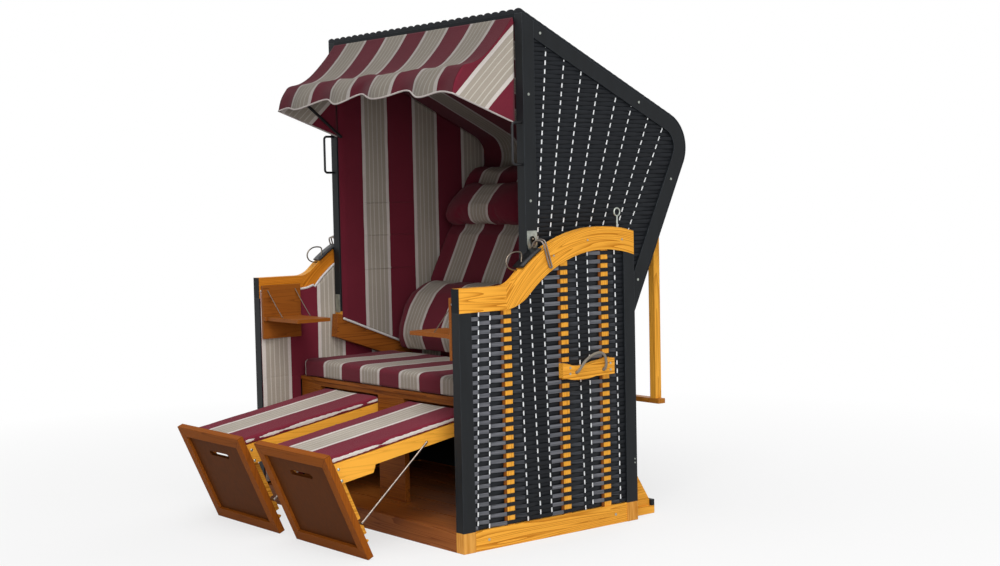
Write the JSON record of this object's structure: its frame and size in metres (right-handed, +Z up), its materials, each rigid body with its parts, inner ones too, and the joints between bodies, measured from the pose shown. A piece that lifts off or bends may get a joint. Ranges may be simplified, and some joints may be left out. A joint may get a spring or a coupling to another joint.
{
  "type": "hooded beach chair",
  "caption": "Roofed wicker beach chair for two with a tilting hood, a fold-down awning, pull-out footrests, folding side trays and striped cushions.",
  "frame": {"origin": "on the floor under the middle of the base", "axes": "+X to the sitter's left, across the chair; -Y is the front; +Z up"},
  "size_m": [1.231, 1.3759, 1.599],
  "materials": {
    "black_board": "satin",
    "golden_wood": "satin oil",
    "brown_wood": "satin oil",
    "weave": "satin",
    "striped_cloth": "woven",
    "zinc": "satin",
    "bright_steel": "polished",
    "dark_steel": "satin",
    "black_rope": "braided",
    "white_cord": "braided",
    "black_plastic": "matte"
  },
  "bodies": {
    "base": {"corner_posts": "black_board", "base_rails": "golden_wood", "armrests": "golden_wood", "side_panels": "black_board", "side_weave": "weave", "side_slats": "golden_wood", "side_linings": "striped_cloth", "rack_strips": "black_board", "seat_front": "brown_wood", "seat_deck": "brown_wood", "seat_cushion": "striped_cloth", "floor_boards": "brown_wood", "back_panel": "black_board", "footrest_runners": "brown_wood", "hinge_bolts": "zinc", "tray_plates": "brown_wood", "handle_boards": "golden_wood", "handle_ropes": "black_rope", "rear_feet": "golden_wood", "foot_pads": "black_plastic", "base_screws": "zinc"},
    "hood": {"hood_posts": "black_board", "hood_frames": "black_board", "lower_rails": "golden_wood", "hood_panels": "black_board", "hood_weave": "weave", "roof_shell": "weave", "hood_beams": "brown_wood", "hood_linings": "striped_cloth", "back_cushion": "striped_cloth", "lumbar_cushion": "striped_cloth", "head_pillows": "striped_cloth", "grab_handles": "dark_steel", "post_plates": "zinc", "hood_screws": "zinc", "support_brackets": "zinc"},
    "awning": {"awning_bow": "bright_steel", "awning_cloth": "striped_cloth"},
    "support": {"rear_support": "golden_wood"},
    "slide_left": {"slide_bar_left": "zinc"},
    "shelf_left": {"shelf_frame_left": "golden_wood", "shelf_cushion_left": "striped_cloth"},
    "leg_left": {"leg_panel_left": "brown_wood", "leg_battens_left": "golden_wood"},
    "bail_left": {"leg_bail_left": "bright_steel"},
    "tray_body_left": {"tray_left": "brown_wood", "tray_cords_left": "white_cord"},
    "latch_body_left": {"latch_left": "dark_steel"},
    "pin_body_left": {"lock_pin_left": "zinc"},
    "slide_right": {"slide_bar_right": "zinc"},
    "shelf_right": {"shelf_frame_right": "golden_wood", "shelf_cushion_right": "striped_cloth"},
    "leg_right": {"leg_panel_right": "brown_wood", "leg_battens_right": "golden_wood"},
    "bail_right": {"leg_bail_right": "bright_steel"},
    "tray_body_right": {"tray_right": "brown_wood", "tray_cords_right": "white_cord"},
    "latch_body_right": {"latch_right": "dark_steel"},
    "pin_body_right": {"lock_pin_right": "zinc"}
  },
  "joints": [
    {"name": "hood_tilt", "type": "hinge", "parent": "base", "child": "hood", "pos_m": [0, 0.218, 0.437], "axis": [-1, 0, 0], "range_deg": [0, 34]},
    {"name": "awning_fold", "type": "hinge", "parent": "hood", "child": "awning", "pos_m": [0, -0.04, 1.255], "axis": [-1, 0, 0], "range_deg": [0, 40], "deforming": ["awning_cloth"]},
    {"name": "support_swing", "type": "hinge", "parent": "hood", "child": "support", "pos_m": [0, 0.56577, 0.94], "axis": [1, 0, 0], "range_deg": [0, 34]},
    {"name": "footrest_slide_left", "type": "slide", "parent": "base", "child": "slide_left", "axis": [0, 1, 0], "range_m": [0, 0.18]},
    {"name": "footrest_lift_left", "type": "hinge", "parent": "slide_left", "child": "shelf_left", "pos_m": [-0.2445, -0.15, 0.354], "axis": [-1, 0, 0], "range_deg": [0, 9.3]},
    {"name": "leg_fold_left", "type": "hinge", "parent": "shelf_left", "child": "leg_left", "pos_m": [-0.2445, -0.66063, 0.26688], "axis": [-1, 0, 0], "range_deg": [0, 14.8]},
    {"name": "bail_swing_left", "type": "hinge", "parent": "shelf_left", "child": "bail_left", "pos_m": [-0.2445, -0.35078, 0.31162], "axis": [1, 0, 0], "range_deg": [0, 10.36]},
    {"name": "tray_fold_left", "type": "hinge", "parent": "base", "child": "tray_body_left", "pos_m": [-0.5195, 0, 0.631], "axis": [0, -1, 0], "range_deg": [0, 85], "deforming": ["tray_cords_left"]},
    {"name": "latch_lift_left", "type": "hinge", "parent": "hood", "child": "latch_body_left", "pos_m": [-0.55, -0.028, 0.905], "axis": [-1, 0, 0], "range_deg": [0, 16]},
    {"name": "lock_pin_slide_left", "type": "slide", "parent": "base", "child": "pin_body_left", "axis": [0, 0, 1], "range_m": [0, 0.045]},
    {"name": "footrest_slide_right", "type": "slide", "parent": "base", "child": "slide_right", "axis": [0, 1, 0], "range_m": [0, 0.18]},
    {"name": "footrest_lift_right", "type": "hinge", "parent": "slide_right", "child": "shelf_right", "pos_m": [0.2445, -0.15, 0.354], "axis": [-1, 0, 0], "range_deg": [0, 9.3]},
    {"name": "leg_fold_right", "type": "hinge", "parent": "shelf_right", "child": "leg_right", "pos_m": [0.2445, -0.66063, 0.26688], "axis": [-1, 0, 0], "range_deg": [0, 14.8]},
    {"name": "bail_swing_right", "type": "hinge", "parent": "shelf_right", "child": "bail_right", "pos_m": [0.2445, -0.35078, 0.31162], "axis": [1, 0, 0], "range_deg": [0, 10.36]},
    {"name": "tray_fold_right", "type": "hinge", "parent": "base", "child": "tray_body_right", "pos_m": [0.5195, 0, 0.631], "axis": [0, 1, 0], "range_deg": [0, 85], "deforming": ["tray_cords_right"]},
    {"name": "latch_lift_right", "type": "hinge", "parent": "hood", "child": "latch_body_right", "pos_m": [0.55, -0.028, 0.905], "axis": [-1, 0, 0], "range_deg": [0, 16]},
    {"name": "lock_pin_slide_right", "type": "slide", "parent": "base", "child": "pin_body_right", "axis": [0, 0, 1], "range_m": [0, 0.045]}
  ],
  "couplings": [
    {"joint": "bail_swing_left", "follows": "leg_fold_left", "ratio": 0.7},
    {"joint": "bail_swing_right", "follows": "leg_fold_right", "ratio": 0.7}
  ]
}
